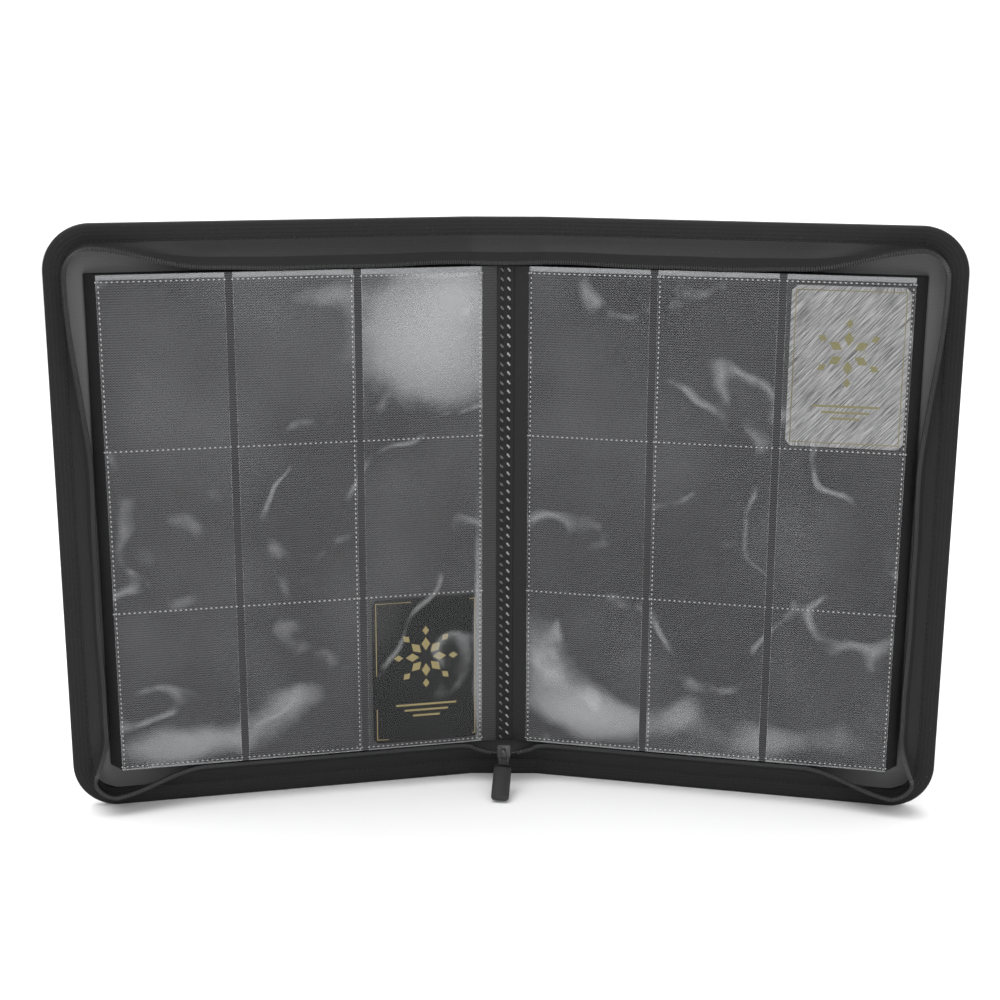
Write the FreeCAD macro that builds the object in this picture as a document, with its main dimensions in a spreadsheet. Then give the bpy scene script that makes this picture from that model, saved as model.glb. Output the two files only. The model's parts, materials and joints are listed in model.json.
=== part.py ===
import FreeCAD, Part
import Sketcher
import math
import os

# A zip-around binder for collector cards, standing open on its lower edge.
# +X is to the reader's right, +Y points behind the spine, +Z is up.
# The origin is the middle of the spine's foot. All lengths are in millimetres, angles in degrees.
# Everything paired is built on the right side and mirrored to the left.

doc = FreeCAD.newDocument("CardBinder")
sheet = doc.addObject("Spreadsheet::Sheet", "Sizes")

drivingSizes = {
    # collector card and the pockets of a page
    "cardWidth": 63.5,
    "cardHeight": 88.9,
    "cardThick": 0.3,
    "pocketEaseWide": 6.6,
    "pocketEaseTall": 3.9,
    "pageLipTop": 3.5,
    "pageLipFoot": 1.6,
    "weldWidth": 1.0,
    "columnGap": 4.2,
    "coreThick": 0.3,
    "filmThick": 0.1,
    "pocketDepth": 0.35,
    "leafThick": 0.8,
    "leafPitch": 0.95,
    "gutterWidth": 8.0,
    "gutterThick": 0.5,
    # how the pages are bound in the spine
    "seamHalf": 4.6,
    "seamThick": 0.5,
    "threadThick": 0.4,
    "threadWide": 0.8,
    "threadOffset": 2.4,
    "foldClear": 0.9,
    "leafRoot": 0.8,
    "slabThick": 0.8,
    "slabClear": 0.75,
    "stackLift": 0.9,
    "stackToHinge": 5.95,
    # layers of a cover, from the outside in
    "skinThick": 0.8,
    "foamThick": 2.0,
    "boardThick": 2.0,
    "liningThick": 0.5,
    "cornerRadius": 26.0,
    "openAngle": 12.5,
    "coverHingeGap": 3.8,
    "spineHingeGap": 1.0,
    "hingeClothThick": 0.8,
    "hingeClothClear": 0.5,
    # tape bound round the edge
    "bindThick": 0.6,
    "bindWidth": 11.0,
    # gusset and zipper
    "gussetInset": 1.2,
    "gussetHigh": 4.8,
    "gussetThick": 0.8,
    "tapeHigh": 3.9,
    "tapeThick": 0.6,
    "coilHigh": 1.6,
    "coilThick": 2.2,
    "gussetStart": 36.0,
    "hingeGussetHigh": 4.2,
    "bridgeHalf": 10.0,
    "endMargin": 26.25,
    "foreEdgeClear": 0.7,
    # slider and its pull
    "sliderForward": 20.5,
    "sliderHeight": 20.2,
    "sliderTilt": 25.0,
    "sliderWide": 8.0,
    "sliderLong": 10.5,
    "sliderPlate": 1.0,
    "sliderChannel": 2.4,
    "postWide": 2.4,
    "postLong": 2.2,
    "meshedHalf": 1.7,
    "startTapeHalf": 9.5,
    "startTapeUp": 4.6,
    "startTapeDown": 9.0,
    "bailWide": 3.0,
    "bailLong": 7.0,
    "linkInBail": 1.9,
    "bailHigh": 2.6,
    "bailThick": 1.0,
    "linkWire": 1.0,
    "linkWide": 6.0,
    "linkLong": 6.5,
    "tabLong": 22.2,
    "tabWide": 10.5,
    "tabThick": 2.0,
    "tabSlope": 42.0,
    "stopThick": 1.8,
    "stopLong": 3.0,
}
pageColumns = 3
pageRows = 3
leavesPerSide = 10

for row, (alias, value) in enumerate(drivingSizes.items(), start=1):
    sheet.set(f"A{row}", alias)
    sheet.set(f"B{row}", str(value))
    sheet.setAlias(f"B{row}", alias)
doc.recompute()


class Size:
    # a number together with the sheet formula that gives it
    def __init__(self, number, formula):
        self.number = number
        self.formula = formula

    def __add__(self, other):
        other = sized(other)
        return Size(self.number + other.number, f"({self.formula} + {other.formula})")

    def __sub__(self, other):
        other = sized(other)
        return Size(self.number - other.number, f"({self.formula} - {other.formula})")

    def __mul__(self, other):
        other = sized(other)
        return Size(self.number * other.number, f"({self.formula} * {other.formula})")

    def __neg__(self):
        return self * -1


def sized(value):
    return value if isinstance(value, Size) else Size(float(value), f"({float(value)})")


def cell(alias):
    return Size(drivingSizes[alias], f"Sizes.{alias}")


def sine(angle):
    return Size(math.sin(math.radians(angle.number)), f"sin({angle.formula})")


def cosine(angle):
    return Size(math.cos(math.radians(angle.number)), f"cos({angle.formula})")


# ---- places that several pieces share ----
cardWidth = cell("cardWidth")
cardHeight = cell("cardHeight")
columnPitch = cardWidth + cell("pocketEaseWide")
rowPitch = cardHeight + cell("pocketEaseTall")
pageWidth = columnPitch * pageColumns
pageHeight = rowPitch * pageRows + cell("pageLipTop") + cell("pageLipFoot")
pageFoot = cell("endMargin")
coverHeight = pageHeight + pageFoot * 2

innerPivotX = cell("seamHalf") + cell("foldClear")
outerPivotX = innerPivotX + cell("leafPitch") * (leavesPerSide - 1)
hingeX = outerPivotX + cell("stackToHinge")
pageReach = cell("gutterWidth") + pageWidth
stackThick = cell("skinThick") + cell("foamThick") + cell("boardThick") + cell("liningThick")
stackHalf = stackThick * 0.5
lipHalf = stackHalf + cell("bindThick")
spineHalf = hingeX - cell("spineHingeGap")
bindThick = cell("bindThick")
stackHeight = coverHeight - bindThick * 2


def pivotOf(leaf):
    # leaf 1 lies on top, at the middle of the binder; the last one lies on the cover
    x = innerPivotX + cell("leafPitch") * (leaf - 1)
    depth = stackHalf + cell("stackLift") + cell("leafPitch") * (leavesPerSide - leaf)
    return x, -depth


# in the closed binder the top page ends just inside the gusset along the fore-edge
gussetBand = cell("gussetInset") + cell("coilThick")
coverReach = pageReach - pivotOf(1)[1] + gussetBand + cell("foreEdgeClear")


# ---- building helpers ----
nodes = []


def bind(item, path, size):
    item.setExpression(path, sized(size).formula)


def place(item, x, y, z, turn=0, axis=(0, 0, -1)):
    item.Placement = FreeCAD.Placement(FreeCAD.Vector(0, 0, 0), FreeCAD.Rotation(FreeCAD.Vector(*axis), 1))
    bind(item, "Placement.Base.x", x)
    bind(item, "Placement.Base.y", y)
    bind(item, "Placement.Base.z", z)
    bind(item, "Placement.Rotation.Angle", turn)
    return item


def onCover(item):
    return place(item, hingeX, 0, 0, cell("openAngle"))


def onLeaf(item, leaf):
    x, y = pivotOf(leaf)
    return place(item, x, y, 0, cell("openAngle"))


def onSlider(item):
    return place(item, 0, -cell("sliderForward"), cell("sliderHeight"), cell("sliderTilt"), (-1, 0, 0))


def keep(item, label):
    item.Label = label
    nodes.append(item)
    return item


def newBody(name):
    return doc.addObject("PartDesign::Body", name)


def block(body, low, extent, cut=False):
    kind = "PartDesign::SubtractiveBox" if cut else "PartDesign::AdditiveBox"
    feature = body.newObject(kind, body.Name + "Block")
    for side, size in zip(("Length", "Width", "Height"), extent):
        bind(feature, side, size)
    for axis, start in zip("xyz", low):
        bind(feature, f"Placement.Base.{axis}", start)
    return feature


def roundOff(body, feature, farX, radius):
    # rounds the edges that run through the thickness at the distance farX
    doc.recompute()
    names = []
    for number, edge in enumerate(feature.Shape.Edges, start=1):
        start, end = edge.Vertexes[0].Point, edge.Vertexes[-1].Point
        across = abs(start.x - end.x) < 1e-6 and abs(start.z - end.z) < 1e-6
        if across and abs(start.x - farX.number) < 1e-6:
            names.append(f"Edge{number}")
    fillet = body.newObject("PartDesign::Fillet", body.Name + "Round")
    fillet.Base = (feature, names)
    bind(fillet, "Radius", radius)
    return fillet


def mirrored(item, label):
    twin = doc.addObject("Part::Mirroring", label)
    twin.Source = item
    twin.Base = FreeCAD.Vector(0, 0, 0)
    twin.Normal = FreeCAD.Vector(1, 0, 0)
    return keep(twin, label)


def bothSides(item, pattern):
    keep(item, pattern.format("right"))
    mirrored(item, pattern.format("left"))


def upended(item, name):
    # the same piece at the head of the spine
    twin = doc.addObject("Part::Mirroring", name)
    twin.Source = item
    twin.Normal = FreeCAD.Vector(0, 0, 1)
    bind(twin, "Base.z", coverHeight * 0.5)
    return twin


def group(name, pieces):
    compound = doc.addObject("Part::Compound", name)
    compound.Links = pieces
    return compound


def sketchOn(body, role, offset):
    sketch = body.newObject("Sketcher::SketchObject", body.Name + "Sketch")
    plane = next(item for item in body.Origin.OriginFeatures if item.Role == role)
    sketch.AttachmentSupport = (plane, "")
    sketch.MapMode = "FlatFace"
    bind(sketch, "AttachmentOffset.Base.z", offset)
    return sketch


def fixPoint(sketch, line, end, x, y):
    for kind, size in (("DistanceX", x), ("DistanceY", y)):
        index = sketch.addConstraint(Sketcher.Constraint(kind, line, end, size.number))
        sketch.setExpression(f"Constraints[{index}]", size.formula)


def outlineSketch(body, role, offset, points):
    # a closed outline of straight sides through the given corners
    sketch = sketchOn(body, role, offset)
    spots = [FreeCAD.Vector(x.number, y.number, 0) for x, y in points]
    for index, spot in enumerate(spots):
        sketch.addGeometry(Part.LineSegment(spot, spots[(index + 1) % len(spots)]))
    for index, (x, y) in enumerate(points):
        sketch.addConstraint(Sketcher.Constraint("Coincident", index - 1 if index else len(points) - 1, 2, index, 1))
        fixPoint(sketch, index, 1, x, y)
    return sketch


def edgeRunSketch(body):
    # the way round a cover's three free sides, along the gusset's foot
    inset = cell("gussetInset")
    near = cell("gussetStart")
    far = coverReach - inset
    low = inset
    high = coverHeight - inset
    radius = cell("cornerRadius") - inset
    sketch = sketchOn(body, "XZ_Plane", 0)
    corners = [
        (near, low), (far - radius, low), (far, low + radius),
        (far, high - radius), (far - radius, high), (near, high),
    ]
    spots = [FreeCAD.Vector(x.number, y.number, 0) for x, y in corners]
    bend = radius.number * (1 - 0.5 ** 0.5)
    lowMid = FreeCAD.Vector(far.number - bend, low.number + bend, 0)
    highMid = FreeCAD.Vector(far.number - bend, high.number - bend, 0)
    sketch.addGeometry(Part.LineSegment(spots[0], spots[1]))
    sketch.addGeometry(Part.Arc(spots[1], lowMid, spots[2]))
    sketch.addGeometry(Part.LineSegment(spots[2], spots[3]))
    sketch.addGeometry(Part.Arc(spots[3], highMid, spots[4]))
    sketch.addGeometry(Part.LineSegment(spots[4], spots[5]))
    for line, (first, second) in ((0, corners[:2]), (2, corners[2:4]), (4, corners[4:])):
        fixPoint(sketch, line, 1, *first)
        fixPoint(sketch, line, 2, *second)
    for arc, before, after in ((1, 0, 2), (3, 2, 4)):
        sketch.addConstraint(Sketcher.Constraint("Coincident", before, 2, arc, 1))
        sketch.addConstraint(Sketcher.Constraint("Coincident", after, 1, arc, 2))
        index = sketch.addConstraint(Sketcher.Constraint("Radius", arc, radius.number))
        sketch.setExpression(f"Constraints[{index}]", radius.formula)
    return sketch


# ---- spine ----
def spineLayers():
    depth = -stackHalf
    for name in ("lining", "board", "foam", "skin"):
        body = newBody(f"Spine{name.title()}")
        thick = cell(f"{name}Thick")
        block(body, (-spineHalf, depth, bindThick), (spineHalf * 2, thick, stackHeight))
        keep(body, f"spine_{name}")
        depth = depth + thick


def spineBinding():
    channel = newBody("SpineBinding")
    block(channel, (-spineHalf, -lipHalf, 0), (spineHalf * 2, lipHalf * 2, cell("bindWidth")))
    block(channel, (-spineHalf - 1, -stackHalf, bindThick), (spineHalf * 2 + 2, stackThick, cell("bindWidth")), True)
    keep(group("SpineBindings", [channel, upended(channel, "SpineBindingHead")]), "spine_edge_bindings")


def hingeCloth():
    body = newBody("HingeCloth")
    wide = cell("spineHingeGap") + cell("coverHingeGap") - cell("hingeClothClear")
    thick = cell("hingeClothThick")
    block(body, (spineHalf, thick * -0.5, bindThick), (wide, thick, stackHeight))
    twin = doc.addObject("Part::Mirroring", "HingeClothTwin")
    twin.Source = body
    twin.Normal = FreeCAD.Vector(1, 0, 0)
    keep(group("HingeCloths", [body, twin]), "hinge_cloths")


def pageBinding():
    slabs = []
    for leaf in range(1, leavesPerSide + 1):
        x, y = pivotOf(leaf)
        half = x - cell("slabClear")
        slab = newBody(f"FoldSlab{leaf}")
        block(slab, (-half, y - cell("slabThick") * 0.5, pageFoot), (half * 2, cell("slabThick"), pageHeight))
        slabs.append(slab)
    keep(group("FoldStack", slabs), "page_fold_stack")
    front = pivotOf(1)[1] - cell("slabThick") * 0.5 - cell("seamThick")
    strip = newBody("SeamStrip")
    block(strip, (-cell("seamHalf"), front, pageFoot), (cell("seamHalf") * 2, cell("seamThick"), pageHeight))
    keep(strip, "seam_strip")
    threads = []
    for side in (-1, 1):
        thread = newBody("ThreadRun")
        wide = cell("threadWide")
        start = cell("threadOffset") * side - wide * 0.5
        block(thread, (start, front - cell("threadThick"), pageFoot), (wide, cell("threadThick"), pageHeight))
        threads.append(thread)
    keep(group("SeamThread", threads), "seam_thread")


# ---- covers ----
def roundedPanel(name, depth, thick):
    panel = newBody(name)
    gap = cell("coverHingeGap")
    far = coverReach - bindThick
    blank = block(panel, (gap, -depth - thick, bindThick), (far - gap, thick, stackHeight))
    roundOff(panel, blank, far, cell("cornerRadius") - bindThick)
    return panel


def coverLayers():
    depth = -stackHalf
    for name in ("skin", "foam", "board", "lining"):
        thick = cell(f"{name}Thick")
        panel = roundedPanel(f"Cover{name.title()}", depth, thick)
        bothSides(onCover(panel), f"cover_{{}}_{name}")
        depth = depth + thick


def coverBinding():
    gap = cell("coverHingeGap")
    width = cell("bindWidth")
    frame = newBody("BindingFrame")
    blank = block(frame, (gap, -lipHalf, 0), (coverReach - gap, lipHalf * 2, coverHeight))
    rounded = roundOff(frame, blank, coverReach, cell("cornerRadius"))
    frame.Tip = rounded
    inner = coverReach - width
    window = block(frame, (gap - 1, -lipHalf - 1, width), (inner - gap + 1, lipHalf * 2 + 2, coverHeight - width * 2), True)
    roundOff(frame, window, inner, cell("cornerRadius") - width)
    core = roundedPanel("BindingCore", -stackHalf, stackThick)
    binding = doc.addObject("Part::Cut", "Binding")
    binding.Base = frame
    binding.Tool = core
    bothSides(onCover(binding), "cover_{}_edge_binding")


def wallSection(foot, high, thick):
    # section of a wall standing on the cover's edge: x is depth behind the plane, y is height above the foot
    inset = cell("gussetInset")
    return [(-foot, inset), (-foot - high, inset), (-foot - high, inset + thick), (-foot, inset + thick)]


tapeFoot = lipHalf + cell("gussetHigh")
coilFoot = tapeFoot + cell("tapeHigh")
gussetSection = wallSection(lipHalf, cell("gussetHigh"), cell("gussetThick"))
tapeSection = wallSection(tapeFoot, cell("tapeHigh"), cell("tapeThick"))
coilSection = wallSection(coilFoot, cell("coilHigh"), cell("coilThick"))


def edgeStrip(name, corners):
    strip = newBody(name)
    way = edgeRunSketch(strip)
    section = outlineSketch(strip, "YZ_Plane", cell("gussetStart"), corners)
    doc.recompute()
    pipe = strip.newObject("PartDesign::AdditivePipe", name + "Pipe")
    pipe.Profile = section
    pipe.Spine = (way, ["Edge1", "Edge2", "Edge3", "Edge4", "Edge5"])
    strip.Tip = pipe
    doc.recompute()
    return strip


def coverGusset():
    gusset = edgeStrip("Gusset", gussetSection)
    near = cell("coverHingeGap")
    thick = cell("gussetThick")
    high = cell("hingeGussetHigh")
    for foot in (cell("gussetInset"), coverHeight - cell("gussetInset") - thick):
        block(gusset, (near, -lipHalf - high, foot), (cell("gussetStart") - near, high, thick))
    bothSides(onCover(gusset), "gusset_{}")
    bothSides(onCover(edgeStrip("ZipperTape", tapeSection)), "zipper_tape_{}")
    bothSides(onCover(edgeStrip("ZipperCoil", coilSection)), "zipper_coil_{}")


def spanStrip(name, corners):
    # the same section carried straight across the spine
    strip = newBody(name)
    section = outlineSketch(strip, "YZ_Plane", 0, corners)
    pad = strip.newObject("PartDesign::Pad", name + "Pad")
    pad.Profile = section
    pad.SideType = "Symmetric"
    bind(pad, "Length", cell("bridgeHalf") * 2)
    return strip


def gussetBridges():
    foot = spanStrip("GussetBridge", gussetSection)
    keep(foot, "gusset_bridge_foot")
    keep(upended(foot, "GussetBridgeHead"), "gusset_bridge_head")
    tape = spanStrip("TapeBridge", tapeSection)
    coil = spanStrip("CoilBridge", coilSection)
    closing = [tape, upended(tape, "TapeBridgeHead"), upended(coil, "CoilBridgeHead")]
    keep(group("ZipperBridges", closing), "zipper_bridges")


# ---- zipper start, slider and pull ----
def zipperStart():
    tapes = []
    thick = cell("tapeThick")
    up, down = cell("startTapeUp"), cell("startTapeDown")
    wide = cell("startTapeHalf") - cell("meshedHalf")
    for side, start in ((1, cell("meshedHalf")), (-1, -cell("startTapeHalf"))):
        tape = newBody("StartTape")
        block(tape, (start, thick * -0.5, -down), (wide, thick, up + down))
        tapes.append(onSlider(tape))
    keep(group("StartTapes", tapes), "zipper_start_tapes")
    coil = newBody("StartCoil")
    half = cell("coilThick") * 0.5
    meshedFoot = cell("postLong") - cell("sliderLong") * 0.5 + 0.4
    topRun = up - cell("stopLong")
    block(coil, (-cell("meshedHalf"), -half, meshedFoot), (cell("meshedHalf") * 2, half * 2, topRun - meshedFoot))
    keep(onSlider(coil), "zipper_start_coil")
    stop = newBody("EndStop")
    stopHalf = cell("stopThick") * 0.5
    block(stop, (-cell("meshedHalf"), -stopHalf, topRun), (cell("meshedHalf") * 2, stopHalf * 2, cell("stopLong")))
    keep(onSlider(stop), "zipper_end_stop")


def slider():
    body = newBody("Slider")
    wide, long, plate = cell("sliderWide"), cell("sliderLong"), cell("sliderPlate")
    channel = cell("sliderChannel")
    low = long * -0.5
    back = channel * 0.5
    block(body, (wide * -0.5, back, low), (wide, plate, long))
    post = cell("postWide")
    block(body, (post * -0.5, -back, low), (post, channel, cell("postLong")))
    block(body, (wide * -0.5, -back - plate, low), (wide, plate, long))
    bail = newBody("Bail")
    front = -back - plate
    bailWide, bailLong, bailHigh = cell("bailWide"), cell("bailLong"), cell("bailHigh")
    bar = cell("bailThick")
    block(bail, (bailWide * -0.5, front - bailHigh, bailLong * -0.5), (bailWide, bailHigh, bailLong))
    block(bail, (bailWide * -0.5 - 1, front - bailHigh + bar, bailLong * -0.5 + bar),
          (bailWide + 2, bailHigh - bar, bailLong - bar * 2), True)
    keep(onSlider(group("SliderWithBail", [body, bail])), "slider")


def pull():
    # the link hangs in the bail's lower bend; the tab runs forward from it to the surface
    tilt = cell("sliderTilt")
    out = cell("sliderChannel") * 0.5 + cell("sliderPlate") + (cell("bailHigh") - cell("bailThick")) * 0.5
    down = cell("bailLong") * 0.5 - cell("linkInBail")
    forward = cell("sliderForward") + cosine(tilt) * out + sine(tilt) * down
    height = cell("sliderHeight") + sine(tilt) * out - cosine(tilt) * down
    link = newBody("PullLink")
    wire, wide, long = cell("linkWire"), cell("linkWide"), cell("linkLong")
    rear = wire * 0.5
    block(link, (wide * -0.5, -long, -rear), (wide, long + rear, wire))
    block(link, (wide * -0.5 + wire, -long + wire, -wire), (wide - wire * 2, long - wire - rear, wire * 2), True)
    keep(place(link, 0, -forward, height, cell("tabSlope"), (1, 0, 0)), "pull_link")
    tab = newBody("PullTab")
    tabWide, tabThick = cell("tabWide"), cell("tabThick")
    start = -long - cell("tabLong")
    sheetLow = tabThick * -0.5
    block(tab, (tabWide * -0.5, start, sheetLow), (tabWide, cell("tabLong"), tabThick))
    keep(place(tab, 0, -forward, height, cell("tabSlope"), (1, 0, 0)), "pull_tab")


# ---- pages ----
def pocketFilm(name, column, rowsFoot, level, out):
    # one column of pockets: a clear strip welded along one side and across each row
    gap = cell("columnGap") * 0.5
    weld = cell("weldWidth")
    start = cell("gutterWidth") + columnPitch * column + (gap if column else 0)
    end = cell("gutterWidth") + columnPitch * (column + 1) - (gap if column < pageColumns - 1 else 0)
    film = newBody(name)
    thick = cell("filmThick")
    depth = cell("pocketDepth")
    outer = level + depth
    low = -outer - thick if out else outer
    block(film, (start, low, pageFoot), (end - start, thick, pageHeight))
    ribLow = -outer if out else level
    ribStart = start if column < pageColumns - 1 else end - weld
    block(film, (ribStart, ribLow, pageFoot), (weld, depth, pageHeight))
    for row in range(pageRows + 1):
        height = rowsFoot + rowPitch * row - (weld if row == pageRows else 0)
        block(film, (start, ribLow, height), (end - start, depth, weld))
    return film


def topPage():
    half = cell("coreThick") * 0.5
    gutter = newBody("TopGutter")
    root = cell("leafRoot")
    thick = cell("gutterThick")
    block(gutter, (root, thick * -0.5, pageFoot), (cell("gutterWidth") - root - 0.2, thick, pageHeight))
    bothSides(onLeaf(gutter, 1), "top_page_{}_gutter")
    core = newBody("TopCore")
    block(core, (cell("gutterWidth"), -half, pageFoot), (pageWidth, half * 2, pageHeight))
    bothSides(onLeaf(core, 1), "top_page_{}_core")
    rowsFoot = pageFoot + cell("pageLipFoot")
    films = [pocketFilm(f"Pocket{column}", column, rowsFoot, half, True) for column in range(pageColumns)]
    bothSides(onLeaf(group("PocketFilms", films), 1), "top_page_{}_pockets")


def lowerPages():
    for leaf in range(2, leavesPerSide + 1):
        page = newBody(f"Page{leaf}")
        root = cell("leafRoot")
        thick = cell("leafThick")
        block(page, (root, thick * -0.5, pageFoot), (pageReach - root, thick, pageHeight))
        bothSides(onLeaf(page, leaf), f"page_{{}}_{leaf:02d}")


def card(name, column, row, label, flip):
    body = newBody(name)
    slack = (cell("pocketDepth") - cell("cardThick")) * 0.5
    back = cell("coreThick") * 0.5 + slack
    ease = cell("weldWidth") + 0.8
    if column < pageColumns - 1:
        start = cell("gutterWidth") + columnPitch * column + ease
    else:
        start = cell("gutterWidth") + columnPitch * (column + 1) - ease - cardWidth
    height = pageFoot + cell("pageLipFoot") + rowPitch * row + ease
    block(body, (start, -back - cell("cardThick"), height), (cardWidth, cell("cardThick"), cardHeight))
    onLeaf(body, 1)
    if flip:
        mirrored(body, label)
    else:
        keep(body, label)


spineLayers()
spineBinding()
hingeCloth()
pageBinding()
coverLayers()
coverBinding()
coverGusset()
gussetBridges()
zipperStart()
slider()
pull()
topPage()
lowerPages()
card("InnerCard", 0, 0, "dark_card", True)
card("OuterCard", 2, 2, "silver_card", False)
doc.recompute()

# ---- check everything, then write each piece ----
for item in doc.Objects:
    if "Invalid" in item.State or "Error" in item.State:
        raise RuntimeError(f"{item.Name} ({item.Label}) failed: {item.State}")
labels = [item.Label for item in nodes]
if len(set(labels)) != len(labels):
    raise RuntimeError("two pieces share a label")
for item in nodes:
    if item.Shape.isNull() or not item.Shape.isValid() or not item.Shape.Solids:
        raise RuntimeError(f"{item.Label} has no valid solid")

os.makedirs("parts", exist_ok=True)
for item in nodes:
    item.Shape.exportStep(f"parts/{item.Label}.step")
print(len(nodes), "pieces; cover", round(coverHeight.number, 2), "high, reach", round(coverReach.number, 2),
      "hinge at", round(hingeX.number, 2))
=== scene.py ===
import bpy, bmesh, json, math
from mathutils import Matrix, Vector


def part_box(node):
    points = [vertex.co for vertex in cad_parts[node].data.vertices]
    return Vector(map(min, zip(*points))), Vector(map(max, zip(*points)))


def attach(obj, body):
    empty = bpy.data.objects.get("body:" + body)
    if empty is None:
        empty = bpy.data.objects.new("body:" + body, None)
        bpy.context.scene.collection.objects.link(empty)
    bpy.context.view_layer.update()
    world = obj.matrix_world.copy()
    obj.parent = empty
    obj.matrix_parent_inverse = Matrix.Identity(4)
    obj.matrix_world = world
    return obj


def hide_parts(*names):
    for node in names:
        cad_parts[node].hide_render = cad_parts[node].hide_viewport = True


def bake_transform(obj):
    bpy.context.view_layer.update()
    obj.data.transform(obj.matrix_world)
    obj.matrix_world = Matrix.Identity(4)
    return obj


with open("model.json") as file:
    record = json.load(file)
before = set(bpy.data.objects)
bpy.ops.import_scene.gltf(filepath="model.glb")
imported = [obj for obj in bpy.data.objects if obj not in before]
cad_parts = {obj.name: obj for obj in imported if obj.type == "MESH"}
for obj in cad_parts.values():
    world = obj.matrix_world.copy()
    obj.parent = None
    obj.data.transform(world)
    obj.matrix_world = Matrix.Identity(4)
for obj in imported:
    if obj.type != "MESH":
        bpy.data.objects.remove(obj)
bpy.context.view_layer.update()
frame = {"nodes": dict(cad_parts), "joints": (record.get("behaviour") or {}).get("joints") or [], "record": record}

mm = 0.001
joints = {joint["name"]: joint for joint in frame["joints"]}
sides = {"left": -1, "right": 1}

# sizes worked out from the frame
hinge = joints["cover_right_hinge"]
openAngle = math.radians(-hinge["range_deg"][0])
hingeX = hinge["pos_m"][0]
pagePivot = Vector(joints["top_page_right_turn"]["pos_m"])
along = Vector((math.cos(openAngle), -math.sin(openAngle), 0))
inward = Vector((-math.sin(openAngle), -math.cos(openAngle), 0))
footLow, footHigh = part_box("spine_edge_bindings")
lip = -footLow.y                      # half thickness with the edge tape
coverTop = footHigh.z
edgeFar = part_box("cover_right_edge_binding")[1].x
coverFar = (edgeFar - hingeX - lip * math.sin(openAngle)) / math.cos(openAngle)
coreLow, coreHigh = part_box("top_page_right_core")
liningLow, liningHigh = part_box("spine_lining")
coreHalf = (liningHigh.y - liningLow.y) * 0.3    # a page sheet is 0.6 as thick as the lining
pageFar = (coreHigh.x - pagePivot.x - coreHalf * math.sin(openAngle)) / math.cos(openAngle)
pageNear = (coreLow.x - pagePivot.x + coreHalf * math.sin(openAngle)) / math.cos(openAngle)
pageLow, pageHigh = coreLow.z, coreHigh.z
cornerRound = 26 * mm


def smooth(value):
    value = min(max(value, 0.0), 1.0)
    return value * value * (3 - 2 * value)


def coverPoint(side, u, z, h):
    # u runs outward from the hinge, h rises from the middle of the cover towards the pages
    bend = openAngle * smooth(u / (8 * mm) + 0.5)
    rise = Vector((-math.sin(bend), -math.cos(bend), 0)) * h
    run = along * u if u > 0 else Vector((u, 0, 0))
    spot = Vector((hingeX, 0, z)) + run + rise
    return Vector((spot.x * side, spot.y, spot.z))


def pagePoint(side, s, z, h):
    spot = pagePivot + along * s + inward * h
    return Vector((spot.x * side, spot.y, z))


def evenly(low, high, count):
    return [low + (high - low) * k / count for k in range(count + 1)]


def circle(count):
    return evenly(0, 2 * math.pi, count)[:-1]


def addObject(name, data):
    item = bpy.data.objects.new(name, data)
    bpy.context.collection.objects.link(item)
    return item


# camera, light and floor come first
view = {"target": (-2.7 * mm, 0, 171.4 * mm), "distance": 1.0079, "elevation": 14.63, "azimuth": -0.23,
        "roll": 0.2, "lens": 61.96}


def setCamera():
    camera = addObject("camera", bpy.data.cameras.new("camera"))
    camera.data.lens = view["lens"]
    camera.data.sensor_width = 36
    camera.data.clip_start = 0.05
    up, turn = math.radians(view["elevation"]), math.radians(view["azimuth"])
    back = Vector((math.sin(turn) * math.cos(up), -math.cos(turn) * math.cos(up), math.sin(up)))
    camera.location = Vector(view["target"]) + back * view["distance"]
    camera.rotation_euler = (math.pi / 2 - up, 0, turn)
    camera.rotation_euler.rotate_axis("Z", math.radians(view["roll"]))
    bpy.context.scene.camera = camera


lamps = {
    "topSoft": {"spot": (-0.5, -0.35, 1.5), "aim": (0, 0, 0.1), "wide": 1.3, "power": 17},
    "frontSoft": {"spot": (0.5, -1.6, 1.1), "aim": (0, 0, 0.15), "wide": 1.0, "power": 9},
    "rearSoft": {"spot": (0.2, 1.4, 1.0), "aim": (0, 0, 0.15), "wide": 1.2, "power": 8},
}


def setLight():
    for name, lamp in lamps.items():
        light = bpy.data.lights.new(name, "AREA")
        light.size = lamp["wide"]
        light.energy = lamp["power"]
        item = addObject(name, light)
        item.location = lamp["spot"]
        item.rotation_euler = (Vector(lamp["aim"]) - Vector(lamp["spot"])).to_track_quat("-Z", "Y").to_euler()
    world = bpy.data.worlds.new("studio")
    bpy.context.scene.world = world
    world.use_nodes = True
    backdrop = world.node_tree.nodes["Background"].inputs
    backdrop["Color"].default_value = (1, 1, 1, 1)
    backdrop["Strength"].default_value = 0.75
    bpy.context.scene.view_settings.view_transform = "Standard"


def setStage():
    for name, corners, glow in (
        ("studioFloor", [(-9, -4, 0), (9, -4, 0), (9, 3, 0), (-9, 3, 0)], 0.0),
        ("studioBackdrop", [(-9, 2.9, 0), (9, 2.9, 0), (9, 2.9, 7), (-9, 2.9, 7)], 0.55),
    ):
        mesh = bpy.data.meshes.new(name)
        mesh.from_pydata(corners, [], [(0, 1, 2, 3)])
        item = addObject(name, mesh)
        material, tree, shader = newMaterial(name)
        for label, value in (("Base Color", (0.93, 0.93, 0.93, 1)), ("Roughness", 0.9),
                             ("Emission Color", (1, 1, 1, 1)), ("Emission Strength", glow)):
            shader[label].default_value = value
        mesh.materials.append(material)


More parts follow.
